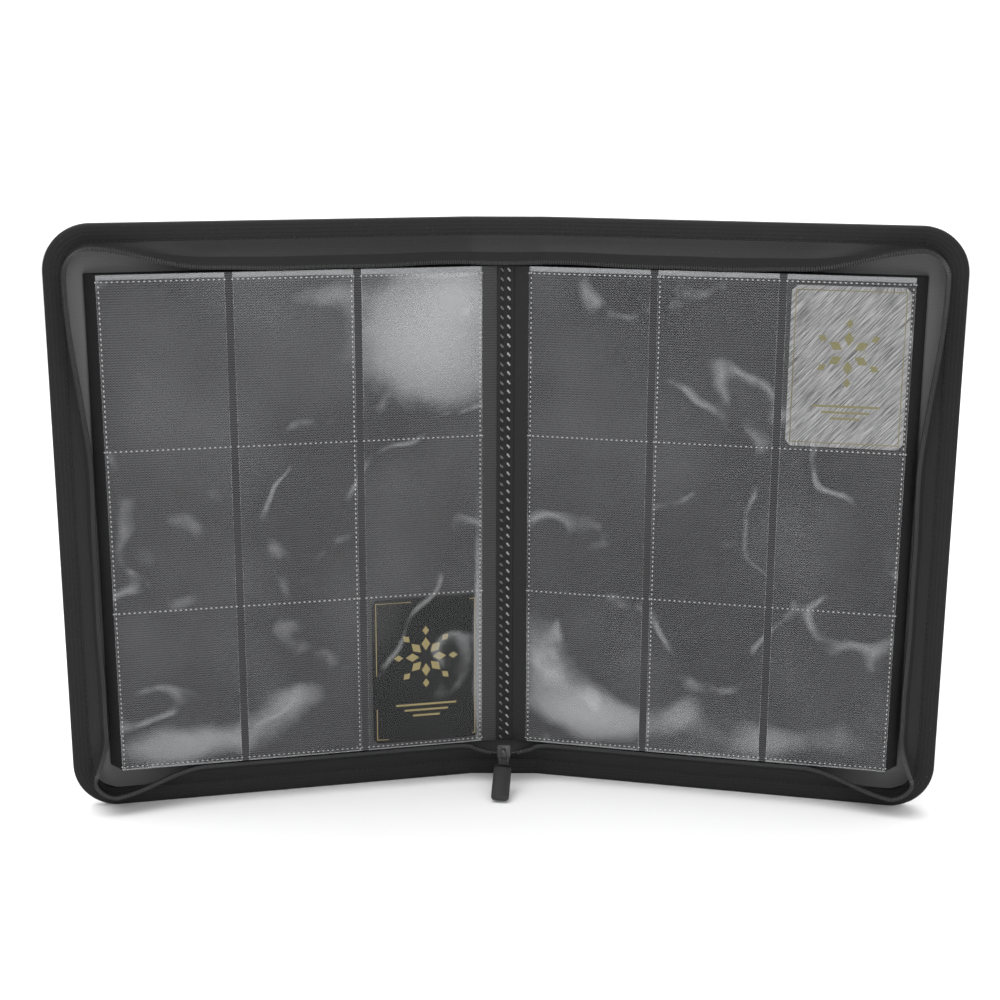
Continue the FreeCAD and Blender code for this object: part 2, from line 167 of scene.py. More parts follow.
# shared shader groups: they put out heights and masks only
class Signal:
    # a number that varies over a surface; arithmetic on it adds Math nodes
    def __init__(self, tree, socket):
        self.tree, self.socket = tree, socket

    def feed(self, target):
        self.tree.links.new(self.socket, target)

    def step(self, operation, *others):
        node = self.tree.nodes.new("ShaderNodeMath")
        node.operation = operation
        for value, target in zip((self, *others), node.inputs):
            setSocket(value, target)
        return Signal(self.tree, node.outputs[0])

    def __add__(self, other):
        return self.step("ADD", other)

    def __sub__(self, other):
        return self.step("SUBTRACT", other)

    def __mul__(self, other):
        return self.step("MULTIPLY", other)

    def clipped(self):
        self.socket.node.use_clamp = True
        return self


def setSocket(value, target):
    if isinstance(value, Signal):
        value.feed(target)
    else:
        target.default_value = value


def addNode(tree, kind, **values):
    node = tree.nodes.new(kind)
    for label, value in values.items():
        setSocket(value, node.inputs[label])
    return node


def newGroup(name, outputs, **inputs):
    # a group with a vector input, number inputs and number outputs
    tree = bpy.data.node_groups.new(name, "ShaderNodeTree")
    tree.interface.new_socket("Vector", in_out="INPUT", socket_type="NodeSocketVector")
    for label, value in inputs.items():
        tree.interface.new_socket(label, in_out="INPUT", socket_type="NodeSocketFloat").default_value = value
    for label in outputs:
        tree.interface.new_socket(label, in_out="OUTPUT", socket_type="NodeSocketFloat")
    into, out = tree.nodes.new("NodeGroupInput"), tree.nodes.new("NodeGroupOutput")
    return tree, {label: Signal(tree, into.outputs[label]) for label in ("Vector", *inputs)}, out.inputs


def noise(vector, scale, detail=3, rough=0.6):
    node = addNode(vector.tree, "ShaderNodeTexNoise", Vector=vector, Scale=scale, Detail=detail,
                   Roughness=rough)
    return Signal(vector.tree, node.outputs["Fac"])


def canvasGroup():
    # crossed threads, as embossed in the page sheets and woven in tape
    tree, into, out = newGroup("canvasWeave", ["Height", "Shade"], Threads=1000.0, Cross=1000.0)
    parts = tree.nodes.new("ShaderNodeSeparateXYZ")
    into["Vector"].feed(parts.inputs[0])
    across, upward = [(Signal(tree, parts.outputs[axis]) * into[rate] * (2 * math.pi)).step("SINE")
                      for axis, rate in (("X", "Threads"), ("Y", "Cross"))]
    crossed = across * upward
    loose = noise(into["Vector"], into["Threads"], 2)
    ((crossed + loose * 0.12) * 0.5).feed(out["Height"])
    patches = noise(into["Vector"], 14.0, 4)
    woven = crossed * 0.6 + upward * 0.35 + 0.5
    (woven * (patches + 0.5) * 0.9).clipped().feed(out["Shade"])
    return tree


def grainGroup():
    # pebbled skin: cells with creases between, over a slow colour drift; the Shade output also paints the creases
    # a little darker, as painted shade in them
    tree, into, out = newGroup("pebbleGrain", ["Height", "Shade"], Scale=900.0)
    cells = addNode(tree, "ShaderNodeTexVoronoi", **into)
    cells.feature = "DISTANCE_TO_EDGE"
    creases = (Signal(tree, cells.outputs["Distance"]) * 3.0).clipped()
    (creases + noise(into["Vector"], into["Scale"], 4)).feed(out["Height"])
    # painted shade: the creases lower Shade a little, so they come out darker
    (creases * 0.15 + noise(into["Vector"], 9.0, 5)).clipped().feed(out["Shade"])
    return tree


def dustGroup():
    # sparse pale specks
    tree, into, out = newGroup("fineDust", ["Mask"], Scale=1400.0)
    ((noise(into["Vector"], into["Scale"], 2, 0.4) - 0.68) * 9.0).clipped().feed(out["Mask"])
    return tree


def brushedGroup():
    # fine lines on the diagonal of a card
    tree, into, out = newGroup("brushedLines", ["Height", "Shade"], Scale=110.0)
    vector = into["Vector"]
    for label, value in (("Rotation", (0, 0, math.radians(-38))), ("Scale", (0.04, 1, 1))):
        turn = addNode(tree, "ShaderNodeMapping", Vector=vector, **{label: value})
        vector = Signal(tree, turn.outputs["Vector"])
    lines = noise(vector, into["Scale"], 4, 0.7)
    lines.feed(out["Height"])
    ((lines - 0.36) * 3.2).clipped().feed(out["Shade"])
    return tree


def paintedSheenGroup():
    # painted reflections on the film, as raised alpha over its pale base colour: blobs with torn edges, and soft
    # curved glints along wrinkle lines, over a faint uneven haze; roughness and bump height come out too
    tree, into, out = newGroup("filmStreaks", ["Alpha", "Rough", "Height"], Scale=11.0, Gleam=0.0)
    big = noise(into["Vector"], into["Scale"], 2, 0.45)
    fine = noise(into["Vector"], into["Scale"] * 3.0, 3, 0.5)
    torn = into["Gleam"] + (fine - 0.5) * 0.8
    # painted reflection patches: where these rise, the film's pale base colour shows more
    sheenBlobs = ((torn - 0.34) * 3.2).clipped() * (into["Gleam"] * 0.27)
    ridge = ((big - 0.5).step("ABSOLUTE") * -60.0 + 1.0).clipped()
    glint = ridge * ((fine - 0.47) * 7.0).clipped() * 0.15
    haze = ((big - 0.5) * 0.12).clipped()
    (sheenBlobs + glint + (haze + 0.015)).clipped().feed(out["Alpha"])
    (fine * 0.1 + 0.06).feed(out["Rough"])
    (big * 2.0 + fine).feed(out["Height"])
    return tree


groups = {"canvas": canvasGroup(), "grain": grainGroup(), "dust": dustGroup(), "brushed": brushedGroup(),
          "streaks": paintedSheenGroup()}


def placeGroup(tree, key, vector, **values):
    # puts a group in a material; its outputs come back as signals
    node = tree.nodes.new("ShaderNodeGroup")
    node.node_tree = groups[key]
    for label, value in {"Vector": Signal(tree, vector), **values}.items():
        setSocket(value, node.inputs[label])
    return {socket.name: Signal(tree, socket) for socket in node.outputs}


def newMaterial(name):
    material = bpy.data.materials.new(name)
    material.use_nodes = True
    return material, material.node_tree, material.node_tree.nodes["Principled BSDF"].inputs


def mixColours(tree, share, first, second):
    mix = tree.nodes.new("ShaderNodeMix")
    mix.data_type = "RGBA"
    for label, value in (("Factor", share), ("A", first), ("B", second)):
        setSocket(value if isinstance(value, Signal) else (*value, 1), mix.inputs[label])
    return Signal(tree, mix.outputs["Result"])


def addBump(tree, height, strength, depth, target):
    bump = addNode(tree, "ShaderNodeBump", Height=height, Strength=strength, Distance=depth)
    tree.links.new(bump.outputs["Normal"], target)


def surfaceMaterial(name, dark, light, rough, surface, bump, depth=0.0002, coords="Object", spread=0.15,
                    dust=0.0, shine=0.5, metal=0.0, coat=0.0, **values):
    # one finish: a patterned height and shade drive colour, roughness and bump
    material, tree, shader = newMaterial(name)
    place = tree.nodes.new("ShaderNodeTexCoord").outputs[coords]
    if coords == "Object" and surface == "canvas":
        # the sheets stand upright, so the weave runs along X and Z
        apart, joined = tree.nodes.new("ShaderNodeSeparateXYZ"), tree.nodes.new("ShaderNodeCombineXYZ")
        tree.links.new(place, apart.inputs[0])
        for first, second in (("X", "X"), ("Z", "Y"), ("Y", "Z")):
            tree.links.new(apart.outputs[first], joined.inputs[second])
        place = joined.outputs[0]
    pattern = placeGroup(tree, surface, place, **values)
    color = mixColours(tree, pattern["Shade"], dark, light)
    if dust:
        specks = placeGroup(tree, "dust", tree.nodes.new("ShaderNodeTexCoord").outputs["Object"])
        color = mixColours(tree, specks["Mask"] * dust, color, grey(0.45))
    color.feed(shader["Base Color"])
    (pattern["Shade"] * spread + (rough - spread / 2)).clipped().feed(shader["Roughness"])
    addBump(tree, pattern["Height"], bump, depth, shader["Normal"])
    for label, value in (("Specular IOR Level", shine), ("Metallic", metal), ("Coat Weight", coat)):
        shader[label].default_value = value
    return material


def grey(level, tint=0.0):
    return (level, level, level * (1 + tint))


# dark and light colours, roughness, pattern, bump, then the rest
finishRows = {
    "leatherette": (grey(0.008), grey(0.022, 0.05), 0.48, "grain", 0.9,
        dict(depth=0.0005, Scale=420.0, dust=0.1, spread=0.25, shine=0.4)),
    "foam": (grey(0.12), grey(0.2), 0.9, "grain", 0.5, dict(Scale=1500.0)),
    "board": ((0.16, 0.13, 0.1), (0.25, 0.2, 0.15), 0.85, "grain", 0.3, dict(Scale=300.0)),
    "lining": (grey(0.09), grey(0.17, 0.03), 0.45, "canvas", 0.12,
        dict(depth=0.0001, Threads=1400.0, Cross=1400.0, dust=0.08)),
    "binding_tape": (grey(0.006), grey(0.02, 0.04), 0.65, "canvas", 0.5,
        dict(coords="UV", Threads=1000.0, Cross=1600.0, dust=0.1, shine=0.22)),
    "gusset_cloth": (grey(0.006), grey(0.016, 0.05), 0.5, "canvas", 0.3,
        dict(coords="UV", Threads=1800.0, Cross=1800.0, dust=0.08, shine=0.22)),
    "gutter_cloth": (grey(0.008), grey(0.05, 0.03), 0.5, "canvas", 0.7,
        dict(coords="UV", Threads=700.0, Cross=700.0, dust=0.1, shine=0.3)),
    "zipper_cloth": (grey(0.004), grey(0.012, 0.05), 0.75, "canvas", 0.7,
        dict(coords="UV", Threads=1200.0, Cross=900.0, shine=0.22)),
    "coil": (grey(0.006), grey(0.014), 0.35, "grain", 0.1, dict(Scale=900.0)),
    "page_core": (grey(0.003), grey(0.09, 0.05), 0.5, "canvas", 0.9,
        dict(coords="UV", Threads=600.0, Cross=720.0, dust=0.1, spread=0.25, shine=0.15)),
    # the lower pages are painted near black, as painted shade at the outer edge where they show past the top page
    "page": (grey(0.003), grey(0.02, 0.05), 0.6, "canvas", 0.6, dict(Threads=620.0, Cross=760.0, shine=0.2)),
    "seam": (grey(0.002), grey(0.012, 0.05), 0.5, "canvas", 0.6,
        dict(coords="UV", Threads=1400.0, Cross=1400.0, shine=0.25)),
    "thread": (grey(0.16), grey(0.42), 0.4, "grain", 0.6, dict(Scale=3000.0)),
    # a darker copy of the thread, as painted shade on the left column of seam stitches
    "thread_dim": (grey(0.05), grey(0.16), 0.4, "grain", 0.6, dict(Scale=3000.0)),
    "stitch": (grey(0.004), grey(0.012), 0.5, "grain", 0.6, dict(Scale=3000.0)),
    "weld": (grey(0.22), grey(0.5), 0.3, "grain", 0.4, dict(Scale=1200.0)),
    "slider_metal": (grey(0.012), grey(0.03), 0.32, "grain", 0.15,
        dict(Scale=600.0, dust=0.1, coat=0.1, shine=0.35)),
    "pull_rubber": (grey(0.01), grey(0.022), 0.55, "grain", 0.35, dict(Scale=1600.0, dust=0.1, shine=0.3)),
    "dark_card_face": (grey(0.003), grey(0.012), 0.3, "grain", 0.02, dict(Scale=900.0, shine=0.12)),
    "gold_ink": ((0.16, 0.13, 0.045), (0.3, 0.24, 0.09), 0.4, "grain", 0.05, dict(Scale=500.0)),
    "olive_ink": ((0.08, 0.075, 0.03), (0.2, 0.18, 0.07), 0.4, "grain", 0.05, dict(Scale=500.0)),
    "silver_card_face": (grey(0.04), grey(0.42), 0.35, "brushed", 0.1, dict(coords="UV", metal=0.3)),
}
finishes = {}
for name, (*look, rest) in finishRows.items():
    finishes[name] = surfaceMaterial(name, *look, **rest)
    # frame parts carry no UV map, so their variant reads object coordinates
    if rest.get("coords") == "UV":
        finishes[f"{name}Solid"] = surfaceMaterial(f"{name}Solid", *look, **{**rest, "coords": "Object"})


def filmMaterial():
    # clear film: almost see-through; where the light catches it, it is painted paler, as painted reflections that
    # raise the alpha over a pale base colour
    material, tree, shader = newMaterial("pocket_film")
    gleam = tree.nodes.new("ShaderNodeAttribute")
    gleam.attribute_name = "gleam"
    streaks = placeGroup(tree, "streaks", tree.nodes.new("ShaderNodeTexCoord").outputs["Object"], Scale=11.0,
                         Gleam=Signal(tree, gleam.outputs["Fac"]))
    streaks["Alpha"].feed(shader["Alpha"])
    streaks["Rough"].feed(shader["Roughness"])
    shader["Base Color"].default_value = (0.55, 0.56, 0.57, 1)
    shader["Specular IOR Level"].default_value = 0.6
    addBump(tree, streaks["Height"], 0.6, 0.0012, shader["Normal"])
    return material


finishes["pocket_film"] = filmMaterial()
print("finishes made")


# mesh helpers
def newPiece(name, bm, finish, body=None, replaces=(), slot=None, smoothAngle=40):
    bmesh.ops.remove_doubles(bm, verts=bm.verts, dist=1e-7)
    bmesh.ops.recalc_face_normals(bm, faces=bm.faces)
    mesh = bpy.data.meshes.new(name)
    bm.to_mesh(mesh)
    bm.free()
    mesh.materials.append(finishes[finish])
    item = addObject(name, mesh)
    for face in mesh.polygons:
        face.use_smooth = True
    mesh.set_sharp_from_angle(angle=math.radians(smoothAngle))
    return settle(item, finish, body, replaces, slot)


def settle(item, finish, body, replaces=(), slot=None):
    if body:
        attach(item, body)
    if replaces:
        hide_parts(*replaces)
    slots = {entry["slot"] for entry in frame["record"]["materials"]}
    name = slot or finish
    name in slots
    return item


def quadGrid(bm, rows, uvs=None, closeRows=False, closeEnds=True):
    # a skin over rows of points; each row may close on itself to make a tube
    layer = bm.loops.layers.uv.verify()
    lines = [[bm.verts.new(point) for point in row] for row in rows]
    count = len(rows[0])
    for i in range(len(rows) - 1):
        for j in range(count if closeRows else count - 1):
            k = (j + 1) % count
            face = bm.faces.new((lines[i][j], lines[i + 1][j], lines[i + 1][k], lines[i][k]))
            if uvs:
                spots = ((i, j), (i + 1, j), (i + 1, j + 1), (i, j + 1))
                for loop, (a, b) in zip(face.loops, spots):
                    loop[layer].uv = uvs(a, b)
    if closeRows and closeEnds:
        bm.faces.new(lines[0])
        bm.faces.new(list(reversed(lines[-1])))
    return lines


def slab(top, foot, uvs=None, bm=None):
    # closed solid between two matching grids
    if bm is None:
        bm = bmesh.new()
    layer = bm.loops.layers.uv.verify()
    upper = quadGrid(bm, top, uvs)
    lower = quadGrid(bm, foot, uvs)
    above, below = [grid[0][:-1] + [row[-1] for row in grid[:-1]] + list(reversed(grid[-1][1:]))
                    + [row[0] for row in reversed(grid[1:])] for grid in (upper, lower)]
    for a in range(len(above)):
        b = (a + 1) % len(above)
        face = bm.faces.new((above[a], above[b], below[b], below[a]))
        for loop in face.loops:
            loop[layer].uv = (loop.vert.co.x, loop.vert.co.z)
    return bm


def edgeRoute(step, near):
    # stations round the cover's free edge: (u, z) on the edge, and the inward direction there
    radius = cornerRound
    far, high = coverFar, coverTop
    stations = []
    length = 0.0

    def straight(start, end, into):
        nonlocal length
        span = (Vector(end) - Vector(start)).length
        steps = max(1, round(span / step))
        for index in range(steps):
            share = index / steps
            spot = Vector(start).lerp(Vector(end), share)
            stations.append((spot, Vector(into), length + span * share, 0.0))
        length += span

    def corner(centre, first):
        nonlocal length
        span = radius * math.pi / 2
        steps = max(6, round(span / step))
        for index in range(steps):
            turn = first + math.pi / 2 * index / steps
            out = Vector((math.cos(turn), math.sin(turn)))
            bulge = math.sin(math.pi * index / steps)
            stations.append((Vector(centre) + out * radius, -out, length + span * index / steps, bulge))
        length += span

    straight((near, 0), (far - radius, 0), (0, 1))
    corner((far - radius, radius), -math.pi / 2)
    straight((far, radius), (far, high - radius), (-1, 0))
    corner((far - radius, high - radius), 0)
    straight((far - radius, high), (near, high), (0, -1))
    stations.append((Vector((near, high)), Vector((0, -1)), length, 0.0))
    return stations


def edgeSweep(name, side, section, finish, step, near, ribs=0.0, **settings):
    # carries a section of (inset, height) points round the cover's edge
    bm = bmesh.new()
    stations = edgeRoute(step, near)
    rows = []
    for index, (spot, into, length, bulge) in enumerate(stations):
        points = section(length, bulge, into)
        swell = ribs if index % 2 else -ribs
        middle = sum((Vector(p) for p in points), Vector((0, 0))) / len(points)
        row = []
        for inset, height in points:
            outward = Vector((inset, height)) - middle
            if ribs:
                grow = swell / max(outward.length, 1e-6)
                inset, height = inset + outward.x * grow, height + outward.y * grow
            place = spot + into * inset
            row.append(coverPoint(side, place.x, place.y, height))
        rows.append(row)
    quadGrid(bm, rows, lambda a, b: (stations[a][2], b * edge["clothStep"]), closeRows=True)
    return newPiece(name, bm, finish, **settings)


# Geometry Nodes: small shapes set along a route
def alongRoute(name, route, finish, step, shape, size, turn=0.0, tilt=0.0):
    # route is a list of point lists; every step along each one gets a copy of the shape
    curve = bpy.data.curves.new(name, "CURVE")
    curve.dimensions = "3D"
    for points in route:
        spline = curve.splines.new("POLY")
        spline.points.add(len(points) - 1)
        for point, spot in zip(spline.points, points):
            point.co = (*spot, 1)
    host = addObject(f"{name}Route", curve)
    tree = bpy.data.node_groups.new(f"{name}Tree", "GeometryNodeTree")
    tree.interface.new_socket("Geometry", in_out="INPUT", socket_type="NodeSocketGeometry")
    tree.interface.new_socket("Geometry", in_out="OUTPUT", socket_type="NodeSocketGeometry")
    labels = {"Step": step, "Long": size[0], "Wide": size[1], "High": size[2], "Turn": turn, "Tilt": tilt}
    sockets = {label: tree.interface.new_socket(label, in_out="INPUT", socket_type="NodeSocketFloat")
               for label in labels}
    into, out = tree.nodes.new("NodeGroupInput"), tree.nodes.new("NodeGroupOutput")

    def add(kind, **settings):
        node = tree.nodes.new(kind)
        for key, value in settings.items():
            setattr(node, key, value)
        return node

    points = add("GeometryNodeCurveToPoints", mode="LENGTH")
    if shape == "bead":
        form = add("GeometryNodeMeshIcoSphere")
        form.inputs["Radius"].default_value = 0.5
        form.inputs["Subdivisions"].default_value = 1
    else:
        form = add("GeometryNodeMeshCube")
        form.inputs["Size"].default_value = (1, 1, 1)
    scale, angles = add("ShaderNodeCombineXYZ"), add("ShaderNodeCombineXYZ")
    grow = add("GeometryNodeTransform")
    aim = add("FunctionNodeAlignRotationToVector", axis="X")
    facing = add("FunctionNodeAlignRotationToVector", axis="Z", pivot_axis="X")
    facing.inputs["Vector"].default_value = (0, -1, 0)
    spin = add("FunctionNodeRotateRotation", rotation_space="LOCAL")
    copies = add("GeometryNodeInstanceOnPoints")
    real = add("GeometryNodeRealizeInstances")
    paint = add("GeometryNodeSetMaterial")
    paint.inputs["Material"].default_value = finishes[finish]
    for source, output, target, socket in (
        (into, "Geometry", points, "Curve"), (into, "Step", points, "Length"),
        (into, "Long", scale, "X"), (into, "Wide", scale, "Y"), (into, "High", scale, "Z"),
        (form, "Mesh", grow, "Geometry"), (scale, "Vector", grow, "Scale"),
        (points, "Tangent", aim, "Vector"), (aim, "Rotation", facing, "Rotation"),
        (into, "Tilt", angles, "Y"), (into, "Turn", angles, "Z"),
        (facing, "Rotation", spin, "Rotation"), (angles, "Vector", spin, "Rotate By"),
        (points, "Points", copies, "Points"), (grow, "Geometry", copies, "Instance"),
        (spin, "Rotation", copies, "Rotation"), (copies, "Instances", real, "Geometry"),
        (real, "Geometry", paint, "Geometry"), (paint, "Geometry", out, "Geometry"),
    ):
        tree.links.new(source.outputs[output], target.inputs[socket])
    modifier = host.modifiers.new("copies", "NODES")
    modifier.node_group = tree
    for label, value in labels.items():
        modifier[sockets[label].identifier] = value
    bpy.context.view_layer.update()
    mesh = bpy.data.meshes.new_from_object(host.evaluated_get(bpy.context.evaluated_depsgraph_get()))
    mesh.name = name
    bpy.data.objects.remove(host)
    item = addObject(name, mesh)
    for face in mesh.polygons:
        face.use_smooth = shape == "bead"
    return item


# covers: padded skin, lining, ribbed edge
cover = {"crown": 1.1 * mm, "edgeBand": 11 * mm, "grid": 5 * mm, "rimFade": 9 * mm, "ripple": 0.12 * mm,
         "creaseAt": -1 * mm, "creaseWide": 7 * mm, "creaseDeep": 0.9 * mm, "skinUp": 0.3 * mm,
         "skinFoot": 1.6 * mm, "liningUp": 2.75 * mm, "liningFoot": 2.1 * mm, "sag": 0.15 * mm,
         "foldWide": 4 * mm, "foldDeep": 0.5 * mm}
# parts across the spine that a cover's piece also stands for
spanning = {"cover_left_edge_binding": ["spine_edge_bindings"],
            "cover_right_skin": ["spine_skin", "hinge_cloths"], "cover_right_lining": ["spine_lining"],
            "gusset_left": ["gusset_bridge_foot", "gusset_bridge_head"],
            "zipper_tape_left": ["zipper_bridges", "zipper_start_tapes"]}


def standsFor(node):
    return [node] + spanning.get(node, [])


def panelRows(side, face, border, near, height):
    # grid over the cover inside its border; the ends of the rows follow the rounded corners
    rows = []
    low, high = border, coverTop - border
    radius = cornerRound - border
    for z in evenly(low, high, round((high - low) / cover["grid"])):
        into = max(radius - (z - low), radius - (high - z), 0)
        far = coverFar - border - radius + math.sqrt(max(radius ** 2 - into ** 2, 0))
        rows.append([coverPoint(side, u, z, face * height(u, z, min(z - low, high - z, far - u)))
                     for u in evenly(near, far, round((coverFar - near) / cover["grid"]))])
    return rows


def makeSkin(name, side):
    def outer(u, z, rim):
        fade = smooth(rim / cover["rimFade"])
        fold = math.exp(-((u - cover["creaseAt"]) / cover["creaseWide"]) ** 2) * cover["creaseDeep"]
        ripple = cover["ripple"] * math.sin(z * 61 + u * 23) * math.sin(u * 47)
        return lip - cover["skinUp"] + cover["crown"] * fade - fold * fade + ripple
    border = cover["edgeBand"] - 1.5 * mm
    top = panelRows(side, -1, border, -hingeX, outer)
    foot = panelRows(side, -1, border, -hingeX, lambda u, z, rim: lip - cover["skinFoot"])
    bm = slab(top, foot, lambda a, b: (a * cover["grid"], b * cover["grid"]))
    item = newPiece(f"cover_skin_{name}", bm, "leatherette", replaces=standsFor(f"cover_{name}_skin"))
    bendAtHinge(item, name)


def bendAtHinge(item, name, reach=6 * mm):
    side = sides[name]
    side * (hingeX + reach)
    side * (hingeX - reach)
    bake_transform(item)


def makeLining(name, side):
    def inner(u, z, rim):
        sag = cover["sag"] * math.sin(z * 33 + 1.3) * math.sin(u * 29) * smooth(rim / (20 * mm))
        return cover["liningUp"] + sag - math.exp(-(u / cover["foldWide"]) ** 2) * cover["foldDeep"]
    border = cover["edgeBand"] - 1 * mm
    top = panelRows(side, 1, border, -hingeX, inner)
    foot = panelRows(side, 1, border, -hingeX, lambda u, z, rim: cover["liningFoot"])
    bm = slab(top, foot)
    item = newPiece(f"cover_lining_{name}", bm, "lining", replaces=standsFor(f"cover_{name}_lining"))
    bendAtHinge(item, name)


edge = {"step": 0.55 * mm, "rib": 0.1 * mm, "round": 1.3 * mm, "clothStep": 1.2 * mm, "stitchIn": 9.6 * mm,
        "stitchStep": 3.2 * mm, "stitchUp": 0.25 * mm, "stitch": (2.3 * mm, 0.55 * mm, 0.5 * mm)}


def tapeSection(length, bulge, into):
    # the folded tape: flat lips front and back, rounded over the edge
    band, half, curl = cover["edgeBand"], lip + 0.15 * mm, edge["round"]
    outline = [(band, half - 0.7 * mm), (band - 0.5 * mm, half), (band * 0.6, half + 0.12 * mm),
               (curl + 1 * mm, half)]
    outline += [(curl * (1 - math.cos(turn)) + 0.02 * mm, half - curl * (1 - math.sin(turn)))
                for turn in (math.pi / 3, math.pi / 6)]
    back = [(inset, -height) for inset, height in reversed(outline)]
    return outline + [(0.0, 0.0)] + back


def makeBinding(name, side):
    item = edgeSweep(f"edge_tape_{name}", side, tapeSection, "binding_tape", edge["step"], -hingeX,
                     ribs=edge["rib"], replaces=standsFor(f"cover_{name}_edge_binding"))
    bendAtHinge(item, name)
    routes = [[coverPoint(side, *(spot + into * edge["stitchIn"]), height)
               for spot, into, length, bulge in edgeRoute(3 * mm, -hingeX)]
              for height in (lip + edge["stitchUp"], -lip - edge["stitchUp"])]
    stitches = alongRoute(f"edge_stitches_{name}", routes, "stitch", edge["stitchStep"], "bead",
                          edge["stitch"])
    settle(stitches, "stitch", None)
    bendAtHinge(stitches, name)


# gusset, zipper tape and teeth
# spots on the section: how far in from the edge, and how far up towards the pages
gusset = {"foot": (10.2 * mm, 3.2 * mm), "tip": (24.2 * mm, 14.6 * mm), "side": (19.5 * mm, 15.4 * mm),
          "corner": (11.5 * mm, 20.5 * mm), "meet": (20.2 * mm, 19.6 * mm), "meetLong": 32 * mm,
          "bow": 1.6 * mm, "step": 3 * mm, "thick": 0.7 * mm, "tapeThick": 0.55 * mm, "bend": 12 * mm,
          "toothStep": 1.35 * mm, "tooth": (0.95 * mm, 2.3 * mm, 1.5 * mm), "toothTilt": 0.15, "cord": 0.45 * mm}


def gussetShape(length, bulge, into):
    # fold and tip of the gusset: it leans in on the straights and stands up in the corners
    total, fade = edgeLength, 0.07 * edgeLength
    onSide = smooth((length - 0.30 * total) / fade) * smooth((0.70 * total - length) / fade)
    stand = 0.0
    for mark, before, after in ((cornerAt[0], 70 * mm, 45 * mm), (cornerAt[1], 130 * mm, 85 * mm)):
        away = (mark - length) / before if length < mark else (length - mark) / after
        stand = max(stand, smooth(1.25 * (1 - away)))
    wave = 0.9 * mm * math.sin(length * 46) + 0.5 * mm * math.sin(length * 101 + 1)
    spots = ("foot", "tip", "side", "corner", "meet")
    foot, tip, sideTip, corner, meet = [Vector(gusset[key]) for key in spots]
    tip = tip.lerp(sideTip, onSide).lerp(corner, stand) + Vector((0.4, 0.8)) * wave * (1 - stand)
    tip = tip.lerp(meet, smooth(1 - length / gusset["meetLong"]))
    bow = Vector((0.8, -1)).normalized() * gusset["bow"] * (1 - 0.4 * stand)
    fold = foot.lerp(tip, 0.62) + bow
    return foot, fold, tip


def lengthMarks():
    stations = edgeRoute(gusset["step"], -hingeX)
    bulges = [length for spot, into, length, bulge in stations if bulge > 0.98]
    return stations[-1][2], (bulges[0], max(bulges))


edgeLength, cornerAt = lengthMarks()


def ribbon(first, bowed, second, thick):
    # closed thin section bowed through a middle point
    spine = [first, first.lerp(bowed, 0.5), bowed, bowed.lerp(second, 0.5), second]
    above, below = [], []
    for index, spot in enumerate(spine):
        ahead = spine[min(index + 1, len(spine) - 1)] - spine[max(index - 1, 0)]
        normal = Vector((-ahead.y, ahead.x)).normalized() * thick / 2
        above.append(tuple(spot + normal))
        below.append(tuple(spot - normal))
    return above + below[::-1]


def makeGusset(name, side):
    def cloth(length, bulge, into):
        foot, fold, tip = gussetShape(length, bulge, into)
        return ribbon(foot, foot.lerp(fold, 0.55) + Vector((0.5, -0.5)) * mm, fold, gusset["thick"])

    def tape(length, bulge, into):
        foot, fold, tip = gussetShape(length, bulge, into)
        start = fold + (fold - tip) * 0.12 + Vector((-0.3, 0.45)) * mm
        return ribbon(start, start.lerp(tip, 0.5), tip, gusset["tapeThick"])

    bend = gusset["bend"]
    for piece, section, finish, node in (("gusset_cloth", cloth, "gusset_cloth", "gusset"),
                                         ("zipper_band", tape, "zipper_cloth", "zipper_tape")):
        item = edgeSweep(f"{piece}_{name}", side, section, finish, gusset["step"], -hingeX,
                         replaces=standsFor(f"{node}_{name}"))
        bendAtHinge(item, name, bend)
    route = []
    for spot, into, length, bulge in edgeRoute(2 * mm, -hingeX):
        foot, fold, tip = gussetShape(length, bulge, into)
        place = spot + into * tip.x
        route.append(coverPoint(side, place.x, place.y, tip.y))
    teeth = alongRoute(f"zipper_teeth_{name}", [route[4:]], "coil", gusset["toothStep"], "block",
                       gusset["tooth"], tilt=gusset["toothTilt"])
    settle(teeth, "coil", None, [f"zipper_coil_{name}"])
    bendAtHinge(teeth, name, bend)
    bm = bmesh.new()
    tube(bm, route, gusset["cord"], 6)
    bendAtHinge(newPiece(f"zipper_cord_{name}", bm, "coil"), name, bend)


def tube(bm, route, radius, count):
    rows = []
    for index, spot in enumerate(route):
        ahead = (route[min(index + 1, len(route) - 1)] - route[max(index - 1, 0)]).normalized()
        across = ahead.cross(Vector((0, 1, 0.02))).normalized()
        lift = ahead.cross(across).normalized()
        rows.append([spot + (across * math.cos(turn) + lift * math.sin(turn)) * radius
                     for turn in circle(count)])
    quadGrid(bm, rows, closeRows=True)


setCamera()
setLight()
setStage()
print("camera, light and stage set")
for sideName, sideSign in sides.items():
    makeSkin(sideName, sideSign)
    makeLining(sideName, sideSign)
    makeBinding(sideName, sideSign)
    makeGusset(sideName, sideSign)
print("covers, edge tape, gussets and zippers made")


# the top page of each side
page = {"gap": 2.1 * mm, "pocketWide": 70.1 * mm, "pocketTall": 92.8 * mm, "footLip": 1.6 * mm,
        "wave": 0.4 * mm, "filmUp": 0.57 * mm, "pillow": 0.7 * mm, "wrinkle": 0.16 * mm,
        "filmThick": 0.12 * mm, "dotStep": 2.8 * mm, "dot": (1.5 * mm, 0.9 * mm, 0.35 * mm), "weldIn": 1.2 * mm,
        "sheetRows": 71, "sheetColumns": 52, "pocketRows": 34, "pocketColumns": 26}
